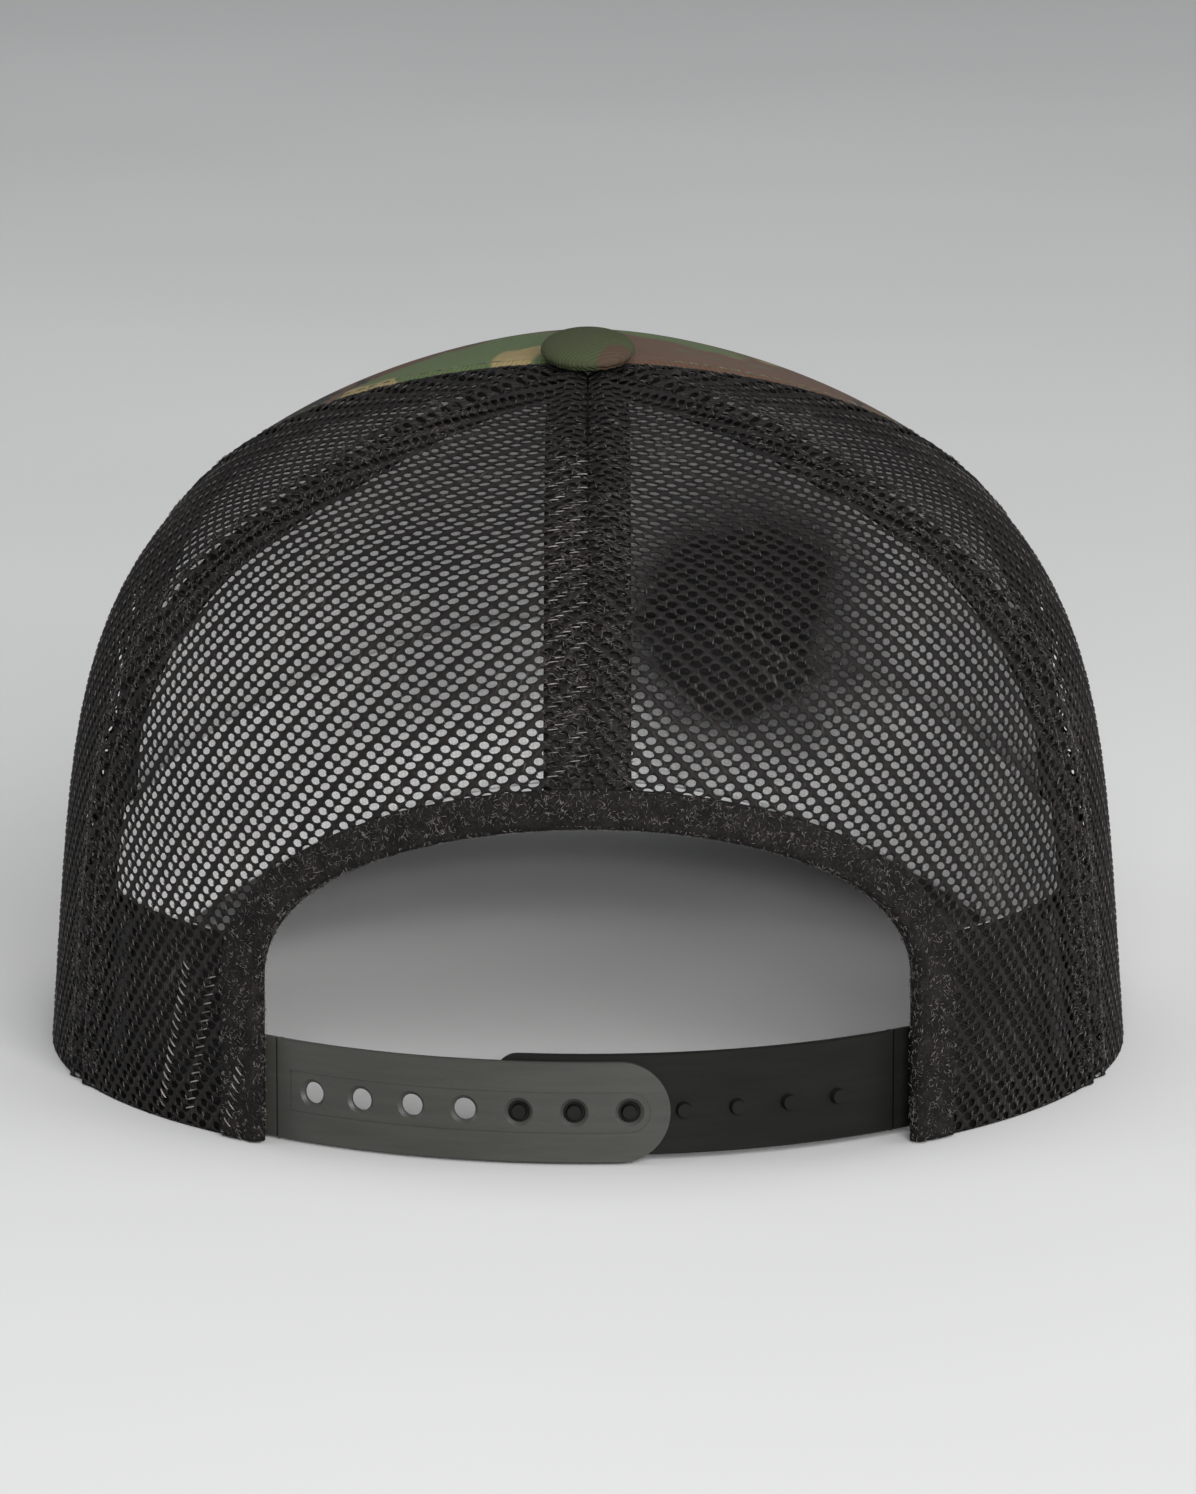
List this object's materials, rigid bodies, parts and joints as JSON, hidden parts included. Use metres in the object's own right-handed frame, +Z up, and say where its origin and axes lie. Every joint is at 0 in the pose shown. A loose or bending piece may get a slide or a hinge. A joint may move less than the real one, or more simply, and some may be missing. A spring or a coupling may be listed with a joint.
{
  "type": "trucker mesh cap",
  "caption": "Six-panel cap with mesh back and sides, twill front, curved visor, covered top button and a plastic snap strap across an arched back opening.",
  "frame": {"origin": "centre of the head opening, in the plane of the rim", "axes": "+Z up through the crown, -Y forward along the visor, +X to the wearer's left"},
  "size_m": [0.1886, 0.2621, 0.1258],
  "materials": {
    "camouflage_twill": null,
    "visor_under_twill": "black cotton twill",
    "black_mesh": "open knitted polyester mesh",
    "mesh_seam": "doubled mesh",
    "stiff_lining": "stiffened white buckram",
    "seam_tape": "woven cotton tape",
    "binding_tape": "folded mesh tape",
    "sweatband_cloth": "black cotton twill",
    "padding": "non-woven padding",
    "visor_plastic": "plain sheet",
    "button_twill": "woven cotton twill stretched over a dome",
    "button_metal": "stamped and plated",
    "strap_plastic": "fine satin moulding"
  },
  "bodies": {
    "crown": {"front_panel_left": "camouflage_twill", "front_panel_right": "camouflage_twill", "side_panel_left": "black_mesh", "side_panel_right": "black_mesh", "back_panel_left": "black_mesh", "back_panel_right": "black_mesh", "front_lining_left": "stiff_lining", "front_lining_right": "stiff_lining", "side_back_seam_tape_left": "mesh_seam", "side_back_seam_tape_right": "mesh_seam", "front_side_seam_tape_left": "seam_tape", "front_side_seam_tape_right": "seam_tape", "centre_front_seam_tape": "seam_tape", "centre_back_seam_tape": "mesh_seam", "arch_binding": "binding_tape", "sweatband": "sweatband_cloth", "sweatband_padding": "padding", "visor_top_cover": "camouflage_twill", "visor_under_cover": "visor_under_twill", "visor_board": "visor_plastic", "button_cover": "button_twill", "button_shell": "button_metal", "button_rivet": "button_metal", "hole_strap_root": "strap_plastic", "pin_strap_root": "strap_plastic"},
    "hole_strap_body": {"hole_strap": "strap_plastic"},
    "pin_strap_body": {"pin_strap": "strap_plastic"}
  },
  "joints": [
    {"name": "hole_strap_flex", "type": "hinge", "parent": "crown", "child": "hole_strap_body", "pos_m": [0.05138, 0.07571, 0], "axis": [0, 0, -1], "range_deg": [0, 60]},
    {"name": "pin_strap_flex", "type": "hinge", "parent": "crown", "child": "pin_strap_body", "pos_m": [-0.05058, 0.07462, 0], "axis": [0, 0, -1], "range_deg": [0, 35]}
  ]
}
